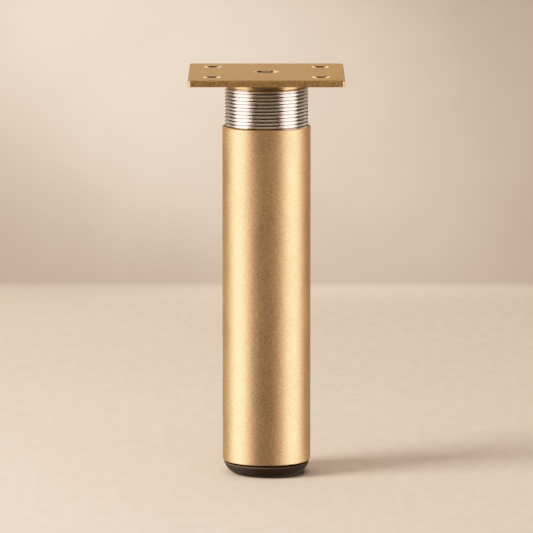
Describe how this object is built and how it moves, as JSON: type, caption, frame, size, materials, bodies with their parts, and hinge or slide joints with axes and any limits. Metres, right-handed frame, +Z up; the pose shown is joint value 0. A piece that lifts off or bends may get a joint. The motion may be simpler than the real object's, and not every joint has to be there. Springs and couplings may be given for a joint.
{
  "type": "adjustable furniture leg",
  "caption": "Round furniture leg with a square screw-on plate, a threaded neck that turns in the tube to set the height, and a swivel foot.",
  "frame": {"origin": "on the leg's axis at the underside of the foot, where it stands", "axes": "+Z up along the leg towards the mounting plate; X and Y along the plate's sides, with the wider screw-hole spacing along X"},
  "size_m": [0.089, 0.089, 0.233],
  "materials": {
    "gold_casting": "satin gold",
    "dark_screw": "blackened",
    "chrome_neck": "polished",
    "gold_tube": "satin gold anodised",
    "dark_plastic": "satin"
  },
  "bodies": {
    "base": {"foot": "dark_plastic"},
    "leg": {"leg_tube": "gold_tube"},
    "mount": {"mounting_plate": "gold_casting", "plate_screw": "dark_screw", "threaded_neck": "chrome_neck"}
  },
  "joints": [
    {"name": "tube_turn", "type": "hinge", "parent": "base", "child": "leg", "pos_m": [0, 0, 0], "axis": [0, 0, -1], "range_deg": [-4690, 730]},
    {"name": "height_slide", "type": "slide", "parent": "base", "child": "mount", "axis": [0, 0, 1], "range_m": [-0.026, 0.004]}
  ],
  "couplings": [
    {"joint": "tube_turn", "follows": "height_slide", "rad_per_m": 3141.6}
  ]
}
